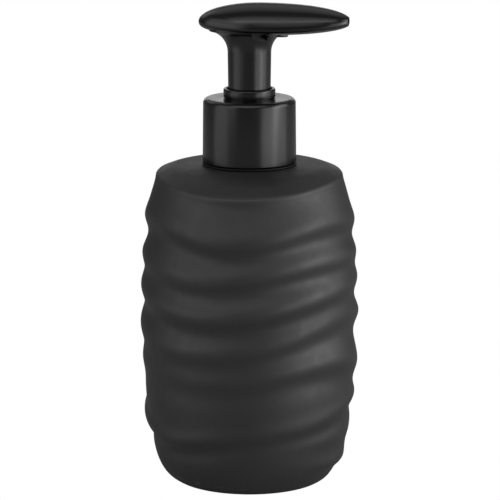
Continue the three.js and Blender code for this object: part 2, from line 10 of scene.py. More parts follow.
import bmesh
import bpy
import numpy as np
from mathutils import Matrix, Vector

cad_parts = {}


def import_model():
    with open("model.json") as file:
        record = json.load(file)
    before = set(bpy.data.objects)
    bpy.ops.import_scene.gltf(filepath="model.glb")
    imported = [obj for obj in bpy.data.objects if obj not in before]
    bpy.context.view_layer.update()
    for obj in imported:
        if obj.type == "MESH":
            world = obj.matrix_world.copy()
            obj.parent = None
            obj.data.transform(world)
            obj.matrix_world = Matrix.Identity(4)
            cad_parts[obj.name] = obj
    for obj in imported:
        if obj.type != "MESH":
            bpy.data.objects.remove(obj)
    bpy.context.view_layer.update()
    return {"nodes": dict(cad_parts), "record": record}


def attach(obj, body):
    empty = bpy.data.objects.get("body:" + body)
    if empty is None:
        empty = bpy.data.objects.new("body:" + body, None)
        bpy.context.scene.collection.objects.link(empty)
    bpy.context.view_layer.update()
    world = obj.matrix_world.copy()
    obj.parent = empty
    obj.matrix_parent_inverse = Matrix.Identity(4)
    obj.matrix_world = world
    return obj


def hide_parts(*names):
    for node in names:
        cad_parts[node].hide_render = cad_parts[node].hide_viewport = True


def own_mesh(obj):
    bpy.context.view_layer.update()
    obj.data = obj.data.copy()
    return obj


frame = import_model()
MM = 0.001
GAP = 0.3  # between pieces that touch, in millimetres

# ------------------------------------------------------------ sizes, in millimetres
LAND_Z = 115.2
LAND_R = 17.4
FOOT_Z = 0.6
FOOT_R = 20.5
WALL = [(26, 2), (30.7, 6), (33.9, 14), (36.5, 30), (38.2, 55), (37.1, 85), (35.6, 100)]
RIM_R = 33.1
RIM_ROUND = 2.6
RIM = (112.25, (2.2, 185), (0.8, 93), (0.3, 60))  # mean level, then its waves, as for a ridge
RIM_NEAR = 1  # a point this close to the rim's level, or to its radius, belongs to it
SHOULDER = [(27.5, 114.2), (22, 114.9)]
SHOULDER_EASE = 1.9  # how much more the rim's ups and downs tell near it than halfway
RIDGES = [
    # mean level; three waves of (height, azimuth of the crest); own (mean, swing, highest at); reach
    (93.3, (1.1, 115), (1.3, -45), (2.8, 55), (1, 0, 0), 3.8),
    (80.9, (2.2, 136), (1.1, 85), (1.2, 37), (1, 0.1, 112), 3.9),
    (69.3, (2.7, 157), (2.7, 77), (0.2, 51), (1.3, 0.2, 68), 4.4),
    (56.5, (1, 150), (5.3, 63), (1.3, -29), (1.05, 0.25, 90), 4.6),
    (43.1, (0.8, -22), (1.6, 44), (1.6, 57), (0.5, 0.15, 60), 3.8),
    (24.7, (2.8, 123), (4, 74), (2.3, -4), (1.1, 0.7, -148), 2.7),
]
SHORT_RIDGES = [(18.8, 74, 46, 0.2), (8.7, 79, 21, 0.9)]  # level, azimuth, spread, height
SHORT_REACH = 2.4
BEAD = 0.75  # how far the rim stands proud in front
BEAD_AZIMUTH, BEAD_SPREAD = 0, 70
BEAD_DROP, BEAD_REACH = 0.3, 2.2  # its level under the rim's, and its height
LEVEL_Z = 88  # the rim's ups and downs die out from the rim down to here
RIDGE_FADE = 6
PLAIN_FOOT_Z = 5
FLOOR_Z = 6.5
INNER_WALL = [(32.2, 30), (33.6, 55), (33, 85), (31.8, 99), (30, 104.5), (20, 109.3)]
MOUTH_R = 12.2
MOUTH_BOTTOM_Z = 110.5
PAD_R = 19.6
PAD_THICK = 1.5

NECK_BORE_R = 10.5
NECK_ROOT_R = 12.6
NECK_TOP_Z = 133
FLANGE_Z = (115.5, 116.1)
FLANGE_R = 16.7
PLUG_BOTTOM_Z = 104
LEAD = 25.4 / 6
NECK_THREAD = (NECK_ROOT_R, 13.7, 1, 126.5)  # root radius, crest radius, turns, start height
CAP_THREAD = (14.4, 12.95, 0.75, 124.9)
THREAD_ROOT_HALF, THREAD_CREST_HALF = 1.05, 0.5  # half its width at the root and at the crest
THREAD_SUNK = 0.5  # its root lies this deep in the wall
RUN_OUT = 0.12  # share of its length, at either end, over which it sinks into the wall
RUN_OUT_DEPTH = 0.8  # of its own depth

CAP_Z = (116.4, 139)
CAP_R = (16.5, 16.3)
CAP_EDGE_R = 1.7
CAP_TOP_THICK = 2
CAP_HOLE_R = 8.8

RING_R = (9.15, 7.95)
RING_Z = (139.3, 142.4)
WELL_R = 8.6
WELL_FLOOR_Z = (124.6, 126.4)
GUIDE_R = 5
GUIDE_TOP_Z = 134

HEAD_X, HEAD_Z = 4, 165.85
HEAD_REAR, HEAD_FRONT = 22, 32
HEAD_UP, HEAD_DOWN, HEAD_WIDE = 6.8, 4.25, 11
HEAD_SAG = 1.6  # its widest line hangs this much lower in the middle than at its ends
HEAD_NOSE = 0.6  # and its nose lifts by this
REAR_CURVES, FRONT_CURVES = (1.9, 2.8), (2.2, 2.4)  # exponents of its top and underside
HEAD_END_X = 35
HEAD_EDGE = 0.9  # the bevel round its flat nose
HEAD_WALL = 1.7
HEAD_HOLE_R = 6.2
SKIRT_R = (7.45, 7.65)
SKIRT_WALL = 1.2
SKIRT_BOTTOM_Z = 140
FLARE_Z = 155.1
FLARE_FILLET = 7.6
FLARE_NARROW = 0.3
SEAM = 0.06  # between the flare and the cover
TONGUE_LENGTH, TONGUE_HALF, TONGUE_Z = 13.6, 2.5, (160.9, 161.3)
NOTCH_X = (2.2, 7.2)
NOTCH_Y = (8.05, 4.3)  # of its slanted wall, at either end and at the height NOTCH_Z
NOTCH_Z = 162.4
NOTCH_LEAN = 0.42  # outwards, for each millimetre down
BOSS_R = (3.65, 5)
BOSS_Z = (148, 163.2)
STEM_TOP_Z = 161.4
INLET_R = 2.5
NOZZLE_R = (0.75, 1.1)
NOZZLE_Z = 166.9
NOZZLE_X = (23.9, 34.9)

WIRE_R = 0.42
COIL_R = 4.15
SPRING_TURNS = 8.5
CLOSED_TURNS = 1.15  # at either end
SPRING_Z = (88.3, 110.9)


# ------------------------------------------------------------ mesh helpers
def add_object(name, vertices, faces, smooth_angle=40):
    """A mesh object from millimetre vertices, normals outwards, smooth below the given angle."""
    mesh = bpy.data.meshes.new(name)
    mesh.from_pydata([tuple(float(c) * MM for c in v) for v in vertices], [], faces)
    work = bmesh.new()
    work.from_mesh(mesh)
    bmesh.ops.remove_doubles(work, verts=work.verts, dist=1e-7)
    bmesh.ops.recalc_face_normals(work, faces=work.faces)
    work.to_mesh(mesh)
    work.free()
    obj = bpy.data.objects.new(name, mesh)
    bpy.context.scene.collection.objects.link(obj)
    shade(obj, smooth_angle)
    return obj


def shade(obj, angle):
    bpy.context.view_layer.update()
    mesh = obj.data
    mesh.shade_smooth()
    mesh.set_sharp_from_angle(angle=math.radians(angle))


def grid_faces(rows, columns, wrap=True):
    faces = []
    for i in range(rows - 1):
        for j in range(columns if wrap else columns - 1):
            k = (j + 1) % columns
            faces.append((i * columns + j, i * columns + k, (i + 1) * columns + k, (i + 1) * columns + j))
    return faces


def lathe(name, profile, segments=128, shape=None, smooth_angle=40):
    """A closed profile of (radius, height) turned about Z; shape(azimuth, r, z) may reshape it."""
    profile = np.array(profile, float)
    azimuth = np.arange(segments) * 2 * math.pi / segments
    grid_a, grid_r = np.meshgrid(azimuth, profile[:, 0])
    grid_z = np.repeat(profile[:, 1][:, None], segments, 1)
    if shape:
        grid_r, grid_z = shape(grid_a, grid_r, grid_z)
    x, y = grid_r * np.sin(grid_a), -grid_r * np.cos(grid_a)
    vertices = np.stack([x, y, grid_z], -1).reshape(-1, 3)
    closes = np.allclose(profile[0], profile[-1])
    faces = grid_faces(len(profile), segments)
    if closes:
        count = len(profile) - 1
        vertices = vertices[: count * segments]
        faces = [tuple(v % (count * segments) for v in face) for face in faces]
    return add_object(name, vertices, faces, smooth_angle)


def arc(r, z, radius, start, end, steps):
    """Points of a round from one direction to another, in degrees from +r towards +z."""
    angles = np.radians(np.linspace(start, end, steps + 1))
    return [(r + radius * math.cos(a), z + radius * math.sin(a)) for a in angles]


def spline(points, steps):
    """The uniform Catmull-Rom curve through the points, with the given steps in all."""
    points = np.array(points, float)
    last = len(points) - 1
    out = []
    for t in np.linspace(0, last, steps + 1):
        i = min(int(t), last - 1)
        f = t - i
        p0, p1 = points[max(i - 1, 0)], points[i]
        p2, p3 = points[i + 1], points[min(i + 2, last)]
        v0, v1 = (p2 - p0) / 2, (p3 - p1) / 2
        out.append(
            (2 * p1 - 2 * p2 + v0 + v1) * f**3 + (-3 * p1 + 3 * p2 - 2 * v0 - v1) * f**2 + v0 * f + p1
        )
    return [tuple(p) for p in out]


def boolean(obj, other, operation="DIFFERENCE"):
    """Cuts or joins the other object, which is used up."""
    modifier = obj.modifiers.new("cut", "BOOLEAN")
    modifier.operation = operation
    modifier.solver = "EXACT"
    modifier.object = other
    bpy.context.view_layer.update()
    evaluated = obj.evaluated_get(bpy.context.evaluated_depsgraph_get())
    mesh = bpy.data.meshes.new_from_object(evaluated)
    obj.modifiers.clear()
    old = obj.data
    obj.data = mesh
    bpy.data.meshes.remove(old)
    bpy.data.objects.remove(other)
    return obj


def cylinder_x(name, radius, start, end, z, segments=48):
    angles = np.arange(segments) * 2 * math.pi / segments
    rings = [[start, 0], [start, radius], [end, radius], [end, 0]]
    vertices = [
        (x, r * math.cos(a), z + r * math.sin(a)) for x, r in rings for a in angles
    ]
    return add_object(name, vertices, grid_faces(4, segments))


def thread(name, root_r, crest_r, turns, z, per_turn=90):
    """A screw thread of trapezoid section that runs out into its wall at both ends."""
    depth = crest_r - root_r
    sunk = -math.copysign(THREAD_SUNK, depth)
    section = [
        (sunk, -THREAD_ROOT_HALF), (depth, -THREAD_CREST_HALF),
        (depth, THREAD_CREST_HALF), (sunk, THREAD_ROOT_HALF),
    ]
    steps = int(per_turn * turns)
    vertices = []
    for i in range(steps + 1):
        t = i / steps
        end = max(0, 1 - min(t, 1 - t) / RUN_OUT)
        radius = root_r - depth * RUN_OUT_DEPTH * end * end
        a = 2 * math.pi * turns * t
        for out, up in section:
            r = radius + out
            vertices.append((r * math.cos(a), r * math.sin(a), z + LEAD * turns * t + up))
    faces = grid_faces(steps + 1, 4) + [(3, 2, 1, 0), tuple(4 * steps + i for i in range(4))]
    return add_object(name, vertices, faces)


# ------------------------------------------------------------ bottle
def height_at(line, azimuth):
    base, *waves = line
    total = np.full_like(azimuth, base, dtype=float)
    for n, (height, crest) in enumerate(waves, 1):
        total += height * np.cos(n * (azimuth - math.radians(crest)))
    return total


def step(distance):
    """1 one reach above a ridge's steep side, at its crest, and -1 in the groove below it."""
    return distance * np.exp((1 - distance**2) / 2)


def ripple(azimuth, z):
    total = np.zeros_like(azimuth)
    for *line, (mean, swing, highest), reach in RIDGES:
        height = mean + swing * np.cos(azimuth - math.radians(highest))
        total += height * step((z - height_at(line, azimuth)) / reach)
    for level, crest, spread, height in SHORT_RIDGES:
        off = azimuth - math.radians(crest)
        off = np.arctan2(np.sin(off), np.cos(off))
        fade = np.exp(-((off / math.radians(spread)) ** 2))
        total += height * fade * step((z - level) / SHORT_REACH)
    return total


def smooth(x, low, high):
    t = np.clip((x - low) / (high - low), 0, 1)
    return t * t * (3 - 2 * t)


def bottle_shape(azimuth, r, z, outer_rows):
    """Waves the rim up and down and lays the ridges on the outer wall."""
    outside = np.zeros_like(r, dtype=bool)
    outside[outer_rows] = True
    rise = height_at(RIM, azimuth) - RIM[0]
    on_shoulder = np.clip((r - LAND_R) / (RIM_R - LAND_R - RIM_NEAR), 0, 1)
    on_wall = smooth(z, LEVEL_Z, RIM[0] - 1.5)
    height = z + rise * np.where(z > RIM[0] - RIM_NEAR, on_shoulder**SHOULDER_EASE, on_wall)
    under_rim = np.clip((RIM[0] + rise - RIM_NEAR - height) / RIDGE_FADE, 0, 1)
    fade = under_rim * smooth(height, FOOT_Z, PLAIN_FOOT_Z)
    grown = r + fade * ripple(azimuth, height)
    off = azimuth - math.radians(BEAD_AZIMUTH)
    off = np.arctan2(np.sin(off), np.cos(off)) / math.radians(BEAD_SPREAD)
    above = (height - RIM[0] - rise + BEAD_DROP) / BEAD_REACH
    grown += BEAD * np.exp(-(off**2) - above**2) * smooth(r, LAND_R, RIM_R - RIM_NEAR)
    return np.where(outside, grown, r), np.where(outside, height, z)


def bottle_body():
    chamfer = 0.2  # at the recess for the pad
    mouth_chamfer = 0.4
    recess = [
        (0, PAD_THICK + GAP), (PAD_R + GAP, PAD_THICK + GAP), (PAD_R + GAP, FOOT_Z + chamfer),
    ]
    foot = [(PAD_R + GAP + chamfer, FOOT_Z)]
    wall = spline([(FOOT_R, FOOT_Z), *WALL, (RIM_R, RIM[0] + 0.2 - RIM_ROUND)], 240)
    rim = arc(RIM_R - RIM_ROUND, RIM[0] + 0.3 - RIM_ROUND, RIM_ROUND, 25, 65, 9)
    shoulder = spline([rim[-1], *SHOULDER, (LAND_R, LAND_Z)], 30)[1:]
    mouth = [
        (MOUTH_R + mouth_chamfer, LAND_Z), (MOUTH_R, LAND_Z - mouth_chamfer),
        (MOUTH_R, MOUTH_BOTTOM_Z),
    ]
    corner_r, corner_round = 20, 10  # where the inside floor turns up into the wall
    corner = arc(corner_r, FLOOR_Z + corner_round, corner_round, -12, -72, 6)
    inner = [*INNER_WALL[::-1], *corner, (corner_r, FLOOR_Z), (0, FLOOR_Z)]
    profile = [*recess, *foot, *wall, *rim, *shoulder, *mouth, *inner]
    first = len(recess) + len(foot)
    outer_rows = slice(first, first + len(wall) + len(rim) + len(shoulder))

    def shape(azimuth, r, z):
        return bottle_shape(azimuth, r, z, outer_rows)

    return lathe("bottle_shell", profile, 224, shape, smooth_angle=50)


def base_pad():
    edge_round = 0.4
    profile = [
        (0, 0), (PAD_R - 0.5, 0), *arc(PAD_R - edge_round, edge_round, edge_round, -90, 0, 4)[1:],
        (PAD_R, PAD_THICK), (0, PAD_THICK),
    ]
    return lathe("foam_pad", profile, 128)


def neck_insert():
    plug_r = MOUTH_R - GAP
    chamfer = 0.4  # inside its top and under the thread
    edge = 0.5  # outside its foot and its top
    flange_round = 0.2
    profile = [
        (NECK_BORE_R, PLUG_BOTTOM_Z), (plug_r - edge, PLUG_BOTTOM_Z), (plug_r, PLUG_BOTTOM_Z + 0.8),
        (plug_r, FLANGE_Z[0]), (FLANGE_R - 0.15, FLANGE_Z[0]),
        *arc(FLANGE_R - flange_round, FLANGE_Z[1] - flange_round, flange_round, 0, 90, 4),
        (NECK_ROOT_R + chamfer, FLANGE_Z[1]), (NECK_ROOT_R, FLANGE_Z[1] + chamfer),
        (NECK_ROOT_R, NECK_TOP_Z - edge), (NECK_ROOT_R - edge, NECK_TOP_Z),
        (NECK_BORE_R + chamfer, NECK_TOP_Z), (NECK_BORE_R, NECK_TOP_Z - chamfer),
        (NECK_BORE_R, PLUG_BOTTOM_Z),
    ]
    body = lathe("threaded_neck", profile, 128)
    boolean(body, thread("neck_thread", *NECK_THREAD), "UNION")
    shade(body, 40)
    return body


# ------------------------------------------------------------ closure and collar
def closure():
    bottom, top = CAP_Z
    underside = top - CAP_TOP_THICK
    root = CAP_THREAD[0]
    chamfer = 0.6  # at either end of its threaded bore
    small = 0.3  # the round outside its foot, and the one round its hole
    profile = [
        (CAP_HOLE_R, underside), (root - chamfer, underside), (root, underside - chamfer),
        (root, bottom + 1), (root + chamfer, bottom), (CAP_R[0] - 0.35, bottom),
        *arc(CAP_R[0] - small, bottom + small, small, -80, 0, 5),
        *arc(CAP_R[1] - CAP_EDGE_R, top - CAP_EDGE_R, CAP_EDGE_R, 0, 90, 16),
        *arc(CAP_HOLE_R + small, top - small, small, 90, 180, 5),
        (CAP_HOLE_R, underside),
    ]
    body = lathe("screw_cap", profile, 192)
    boolean(body, thread("cap_thread", *CAP_THREAD), "UNION")
    shade(body, 35)
    return body


def locking_collar():
    outer, inner = RING_R
    low, high = RING_Z
    well_low, well_high = WELL_FLOOR_Z
    bore = BOSS_R[0]
    chamfer = 0.3
    foot_round, outer_round, inner_round = 0.25, 0.5, 0.45  # of the ring
    profile = [
        (bore, well_low), (WELL_R - chamfer, well_low), (WELL_R, well_low + chamfer),
        (WELL_R, low), *arc(outer - foot_round, low + foot_round, foot_round, -90, 0, 4),
        *arc(outer - outer_round, high - outer_round, outer_round, 0, 90, 8),
        *arc(inner + inner_round, high - inner_round, inner_round, 90, 180, 8),
        (inner, well_high), (GUIDE_R, well_high), (GUIDE_R, GUIDE_TOP_Z - chamfer),
        (GUIDE_R - chamfer, GUIDE_TOP_Z), (bore + chamfer, GUIDE_TOP_Z), (bore, GUIDE_TOP_Z - chamfer),
        (bore, well_low),
    ]
    return lathe("snap_collar", profile, 160, smooth_angle=35)


# ------------------------------------------------------------ head
def pebble(name, grow=0.0, longer=0.0, rings=90, around=96, end=None):
    """The head's long pebble. `grow` moves its surface outwards and `end` cuts its nose flat."""
    angles = np.arange(around) * 2 * math.pi / around
    front = HEAD_FRONT + longer + grow
    rear = HEAD_REAR + grow
    stop = 1.0 if end is None else (end - HEAD_X) / front
    along = np.concatenate([-np.cos(np.linspace(0, math.pi / 2, rings // 2)), [0]])[:-1]
    ahead = np.sin(np.linspace(0, math.asin(stop), rings // 2 + 1))
    rows = [(u, 1.0) for u in np.concatenate([along, ahead])]
    if end is not None:
        rows += [(stop, 0.9), (stop, 0.0)]  # the flat nose: a ring just inside its edge, and its middle
    vertices = []
    for u, share in rows:
        s = min(1, abs(u))
        top, underside = REAR_CURVES if u < 0 else FRONT_CURVES
        taper = math.sqrt(max(0, 1 - s**top))
        sag = HEAD_SAG * (1 - s * s)
        above = (HEAD_UP + grow) * taper + sag
        below = (HEAD_DOWN + grow) * max(0, 1 - s**underside) ** (1 / underside) - sag
        middle = HEAD_Z - sag + (HEAD_NOSE * u * u if u > 0 else 0)
        x = HEAD_X + (rear if u < 0 else front) * u
        for a in angles:
            y = (HEAD_WIDE + grow) * taper * math.cos(a)
            z = (above if math.sin(a) > 0 else below) * math.sin(a)
            vertices.append((x, y * share, middle + z * share))
    return add_object(name, vertices, grid_faces(len(rows), around), 60)


def head_cover():
    body = pebble("head_shell", end=HEAD_END_X)
    edge = body.modifiers.new("edge", "BEVEL")
    edge.width = HEAD_EDGE * MM
    edge.segments = 6
    edge.limit_method = "ANGLE"
    edge.angle_limit = math.radians(50)
    boolean(body, pebble("hollow", -HEAD_WALL, -4, 40, 48))
    low, high = HEAD_Z - 8, HEAD_Z - 2
    hole = [(0, low), (HEAD_HOLE_R, low), (HEAD_HOLE_R, high), (0, high)]
    boolean(body, lathe("hole", hole, 64))
    boolean(body, cylinder_x("outlet", NOZZLE_R[1] + GAP, NOZZLE_X[0] - 3, HEAD_END_X + 1, NOZZLE_Z))
    shade(body, 35)
    return body


def flare_shape(azimuth, r, z):
    """Draws the flare in at the sides, so that it stays under the cover."""
    spread = FLARE_NARROW + (1 - FLARE_NARROW) * np.sin(azimuth) ** 2
    return np.where(r > SKIRT_R[1], SKIRT_R[1] + (r - SKIRT_R[1]) * spread, r), z


def tongue():
    """A thin tab with a round front, under the cover in front of the skirt."""
    low, high = TONGUE_Z
    round_r = 1.5
    outline = [(SKIRT_R[1] + 1, -TONGUE_HALF), (TONGUE_LENGTH - round_r, -TONGUE_HALF)]
    outline += [
        (TONGUE_LENGTH - round_r + round_r * math.sin(a), -TONGUE_HALF + round_r - round_r * math.cos(a))
        for a in np.radians(range(10, 91, 10))
    ]
    outline += [(x, -y) for x, y in reversed(outline)]
    count = len(outline)
    vertices = [(x, y, z) for z in (low, high) for x, y in outline]
    faces = grid_faces(2, count) + [tuple(range(count))[::-1], tuple(range(count, 2 * count))]
    return add_object("tongue", vertices, faces)


def notch(side):
    """The space of a notch in front (side -1) or behind (side 1), for prising the cover off."""
    vertices = []
    for z in (NOTCH_Z - 4, NOTCH_Z + 1):
        out = NOTCH_LEAN * (NOTCH_Z - z)
        outline = [(x, y + out) for x, y in zip(NOTCH_X, NOTCH_Y)]
        outline += [(NOTCH_X[1], 14), (NOTCH_X[0], 14)]
        vertices += [(x, side * y, z) for x, y in outline]
    faces = grid_faces(2, 4) + [(3, 2, 1, 0), (4, 5, 6, 7)]
    return add_object("notch", vertices, faces)


def head_base():
    inside = SKIRT_R[1] - SKIRT_WALL
    top = FLARE_Z + FLARE_FILLET + 1
    bottom_r, top_r = SKIRT_R
    web = TONGUE_Z[0] - 2  # the underside of the web between the boss and the skirt
    foot_round = 0.3
    above_foot = 0.4  # where the straight side starts
    side = [
        (
            bottom_r + (top_r - bottom_r) * t,
            SKIRT_BOTTOM_Z + above_foot + (FLARE_Z - SKIRT_BOTTOM_Z - above_foot) * t,
        )
        for t in (0.25, 0.5, 0.75)
    ]
    profile = [
        (inside, SKIRT_BOTTOM_Z), (bottom_r - foot_round, SKIRT_BOTTOM_Z),
        *arc(bottom_r - foot_round, SKIRT_BOTTOM_Z + foot_round, foot_round, -60, 0, 3),
        *side,
        *arc(top_r + FLARE_FILLET, FLARE_Z, FLARE_FILLET, 180, 98, 28),
        (top_r + FLARE_FILLET - 1, top), (BOSS_R[0], top), (BOSS_R[0], BOSS_Z[0]),
        (BOSS_R[1], BOSS_Z[0]), (BOSS_R[1], web), (inside, web), (inside, SKIRT_BOTTOM_Z),
    ]
    body = lathe("skirt_and_flare", profile, 160, flare_shape)
    boolean(body, tongue(), "UNION")
    boolean(body, pebble("cover_space", SEAM))
    for front_or_back in (-1, 1):
        boolean(body, notch(front_or_back))
    boss_foot = TONGUE_Z[0] - 1
    boss = [(0, boss_foot), (BOSS_R[1], boss_foot), (BOSS_R[1], BOSS_Z[1]), (0, BOSS_Z[1])]
    boolean(body, lathe("boss", boss, 64), "UNION")
    bore_top = STEM_TOP_Z + GAP
    bore = [
        (0, BOSS_Z[0] - 1), (BOSS_R[0], BOSS_Z[0] - 1), (BOSS_R[0], bore_top), (INLET_R, bore_top),
        (INLET_R, BOSS_Z[1] + 1), (0, BOSS_Z[1] + 1),
    ]
    boolean(body, lathe("bore", bore, 64))
    shade(body, 35)
    return body


def return_spring():
    """A wire coiled up with its end turns closed."""
    low, high = SPRING_Z
    pitch = 2.3 * WIRE_R
    free = SPRING_TURNS - 2 * CLOSED_TURNS
    open_pitch = (high - low - 2 * WIRE_R - 2 * CLOSED_TURNS * pitch) / free
    steps, around = round(SPRING_TURNS * 48), 14
    vertices = []
    for i in range(steps + 1):
        turn = SPRING_TURNS * i / steps
        opened = min(max(turn - CLOSED_TURNS, 0), free)
        z = low + WIRE_R + pitch * (turn - opened) + open_pitch * opened
        a = 2 * math.pi * turn
        for k in range(around):
            b = 2 * math.pi * k / around
            r = COIL_R + WIRE_R * math.cos(b)
            vertices.append((r * math.cos(a), r * math.sin(a), z + WIRE_R * math.sin(b)))
    ends = [tuple(range(around))[::-1], tuple(steps * around + k for k in range(around))]
    return add_object("spring_wire", vertices, grid_faces(steps + 1, around) + ends, 50)


def nozzle_insert():
    bore, outside = NOZZLE_R
    body = cylinder_x("outlet_nozzle", outside, *NOZZLE_X, NOZZLE_Z, 64)
    boolean(body, cylinder_x("bore", bore, NOZZLE_X[0] - 1, NOZZLE_X[1] + 1, NOZZLE_Z, 64))
    shade(body, 35)
    return body


# ------------------------------------------------------------ materials
def material(name):
    made = bpy.data.materials.new(name)
    made.use_nodes = True
    shader = made.node_tree.nodes["Principled BSDF"]
    return made, made.node_tree, shader


def noise(tree, scale, detail=4.0, roughness=0.5):
    coords = tree.nodes.get("coords") or tree.nodes.new("ShaderNodeTexCoord")
    coords.name = "coords"
    node = tree.nodes.new("ShaderNodeTexNoise")
    node.inputs["Scale"].default_value = scale
    node.inputs["Detail"].default_value = detail
    node.inputs["Roughness"].default_value = roughness
    tree.links.new(coords.outputs["Object"], node.inputs["Vector"])
    return node.outputs["Fac"]


def ramp(tree, source, stops):
    node = tree.nodes.new("ShaderNodeValToRGB")
    elements = node.color_ramp.elements
    for element, (place, colour) in zip(elements, (stops[0], stops[-1])):
        element.position, element.color = place, (*colour, 1)
    for place, colour in stops[1:-1]:
        elements.new(place).color = (*colour, 1)
    tree.links.new(source, node.inputs["Fac"])
    return node.outputs["Color"]


def spread(tree, source, low, high, source_low=0.3, source_high=0.7):
    node = tree.nodes.new("ShaderNodeMapRange")
    node.inputs["From Min"].default_value = source_low
    node.inputs["From Max"].default_value = source_high
    node.inputs["To Min"].default_value = low
    node.inputs["To Max"].default_value = high
    tree.links.new(source, node.inputs["Value"])
    return node.outputs["Result"]


def mix(tree, a, b, factor):
    node = tree.nodes.new("ShaderNodeMix")
    node.data_type = "RGBA"
    tree.links.new(factor, node.inputs["Factor"])
    for socket, value in ((node.inputs[6], a), (node.inputs[7], b)):
        if isinstance(value, tuple):
            socket.default_value = (*value, 1)
        else:
            tree.links.new(value, socket)
    return node.outputs[2]


def bump(tree, shader, layers):
    """Layers of (height source, strength, distance in millimetres), one on top of the other."""
    normal = None
    for height, strength, distance in layers:
        node = tree.nodes.new("ShaderNodeBump")
        node.inputs["Strength"].default_value = strength
        node.inputs["Distance"].default_value = distance * MM
        tree.links.new(height, node.inputs["Height"])
        if normal:
            tree.links.new(normal, node.inputs["Normal"])
        normal = node.outputs["Normal"]
    tree.links.new(normal, shader.inputs["Normal"])


def edge_wear_and_highlight(tree, low, high):
    """0 on flats and 1 on outward edges, where a lighter colour is laid: wear, and on the glaze a painted
    highlight as well.
    """
    geometry = tree.nodes.new("ShaderNodeNewGeometry")
    return spread(tree, geometry.outputs["Pointiness"], 0, 1, low, high)


def matt_glaze():
    made, tree, shader = material("matt_black_glaze")
    cloud = noise(tree, 38, 5, 0.55)
    body = ramp(tree, cloud, [(0.3, (0.0062, 0.0062, 0.0067)), (0.7, (0.0090, 0.0090, 0.0098))])
    # lighter on outward edges, ridge crests and the rim's edge: partly wear, partly a painted highlight
    edge = edge_wear_and_highlight(tree, 0.505, 0.56)
    tree.links.new(mix(tree, body, (0.030, 0.030, 0.032), edge), shader.inputs["Base Color"])
    grain = noise(tree, 2600, 3, 0.6)
    rough = noise(tree, 240, 4, 0.6)
    tree.links.new(spread(tree, rough, 0.5, 0.6), shader.inputs["Roughness"])
    pores = noise(tree, 420, 3)
    drift = noise(tree, 30, 2)
    bump(tree, shader, [(grain, 0.10, 0.05), (pores, 0.10, 0.12), (drift, 0.35, 0.35)])
    shader.inputs["Specular IOR Level"].default_value = 0.8
    return made


def satin_plastic(name="satin_black_plastic", base=0.002, roughness=(0.23, 0.27), specular=0.6):
    made, tree, shader = material(name)
    cloud = noise(tree, 90, 4)

    def tone(k):
        return (base * k, base * k, base * k * 1.08)

    body = ramp(tree, cloud, [(0.3, tone(0.85)), (0.7, tone(1.2))])
    edge = edge_wear_and_highlight(tree, 0.53, 0.62)
    tree.links.new(mix(tree, body, tone(2.0), edge), shader.inputs["Base Color"])
    tree.links.new(spread(tree, noise(tree, 260, 3, 0.5), *roughness), shader.inputs["Roughness"])
    bump(tree, shader, [(noise(tree, 3800, 2), 0.04, 0.02), (noise(tree, 110, 2), 0.04, 0.05)])
    shader.inputs["Specular IOR Level"].default_value = specular
    return made


def milky_plastic():
    made, tree, shader = material("natural_polypropylene")
    body = ramp(tree, noise(tree, 120, 4), [(0.3, (0.66, 0.68, 0.66)), (0.7, (0.78, 0.80, 0.78))])
    tree.links.new(body, shader.inputs["Base Color"])
    tree.links.new(spread(tree, noise(tree, 600, 3), 0.32, 0.44), shader.inputs["Roughness"])
    bump(tree, shader, [(noise(tree, 2200, 2), 0.06, 0.03)])
    shader.inputs["Subsurface Weight"].default_value = 0.35
    shader.inputs["Subsurface Radius"].default_value = (0.0016, 0.0016, 0.0015)
    return made


def white_polyethylene():
    made, tree, shader = material("white_polyethylene")
    body = ramp(tree, noise(tree, 150, 3), [(0.3, (0.80, 0.80, 0.77)), (0.7, (0.88, 0.88, 0.85))])
    tree.links.new(body, shader.inputs["Base Color"])
    tree.links.new(spread(tree, noise(tree, 700, 3), 0.4, 0.52), shader.inputs["Roughness"])
    bump(tree, shader, [(noise(tree, 2500, 2), 0.07, 0.03)])
    return made


def foam():
    made, tree, shader = material("black_eva_foam")
    cells = tree.nodes.new("ShaderNodeTexVoronoi")
    cells.inputs["Scale"].default_value = 1900
    coords = tree.nodes.new("ShaderNodeTexCoord")
    tree.links.new(coords.outputs["Object"], cells.inputs["Vector"])
    tones = [(0.1, (0.009, 0.009, 0.010)), (0.6, (0.020, 0.020, 0.021))]
    body = ramp(tree, cells.outputs["Distance"], tones)
    tree.links.new(body, shader.inputs["Base Color"])
    tree.links.new(spread(tree, noise(tree, 300, 3), 0.82, 0.95), shader.inputs["Roughness"])
    bump(tree, shader, [(cells.outputs["Distance"], 0.5, 0.15)])
    return made


def steel():
    made, tree, shader = material("drawn_steel")
    body = ramp(tree, noise(tree, 300, 4), [(0.3, (0.50, 0.51, 0.52)), (0.7, (0.64, 0.65, 0.66))])
    tree.links.new(body, shader.inputs["Base Color"])
    shader.inputs["Metallic"].default_value = 1
    tree.links.new(spread(tree, noise(tree, 900, 4), 0.18, 0.32), shader.inputs["Roughness"])
    bump(tree, shader, [(noise(tree, 3000, 2), 0.05, 0.02)])
    return made


# ------------------------------------------------------------ assembly
GLAZE = matt_glaze()
SATIN = satin_plastic()
NECK_BLACK = satin_plastic("matt_black_neck", 0.004, (0.5, 0.6), 0.3)
MILKY = milky_plastic()
WHITE = white_polyethylene()
FOAM = foam()
STEEL = steel()

